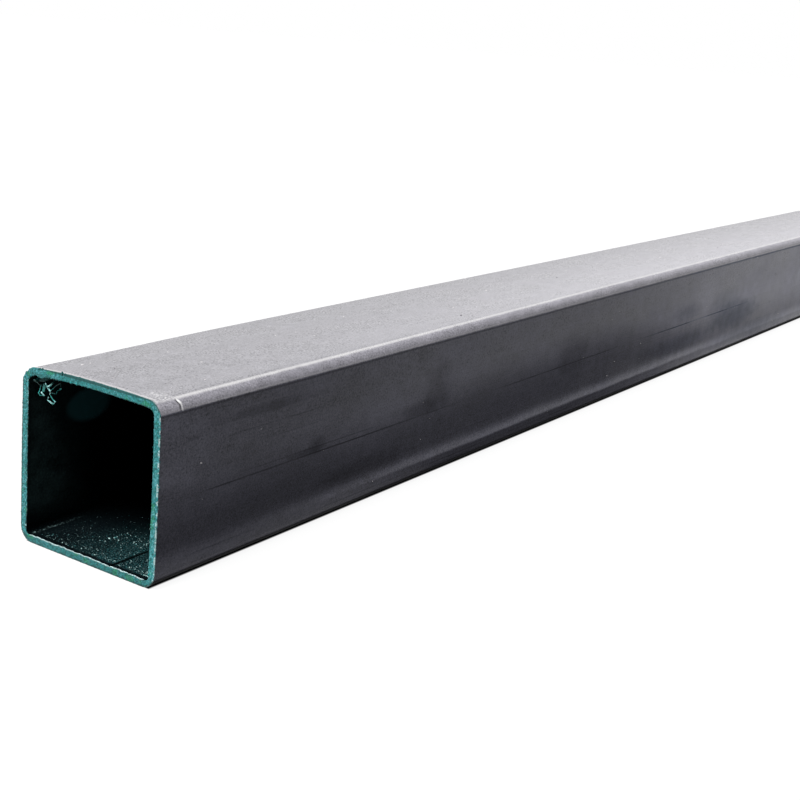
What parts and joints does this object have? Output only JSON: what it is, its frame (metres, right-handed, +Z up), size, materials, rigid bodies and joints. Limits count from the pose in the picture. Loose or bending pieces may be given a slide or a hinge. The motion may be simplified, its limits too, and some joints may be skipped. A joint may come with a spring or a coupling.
{
  "type": "square steel tube",
  "caption": "Square hollow steel tube with rounded corners, open at both sawn ends, for frames, posts and brackets.",
  "frame": {"origin": "middle of the bottom face, half way along the tube, on the floor it lies on", "axes": "+X along the tube, away from the painted mouth; +Z up; +Y across, to the side that the inside weld bead lies near"},
  "size_m": [1, 0.05, 0.05],
  "materials": {
    "black_steel": "dark mill finish, matt to satin, with drawing lines and fine dust",
    "marking_paint": "thin teal marking paint, sprayed on a sawn edge"
  },
  "bodies": {
    "root": {"tube": "black_steel", "weld_flash": "marking_paint"}
  },
  "joints": []
}
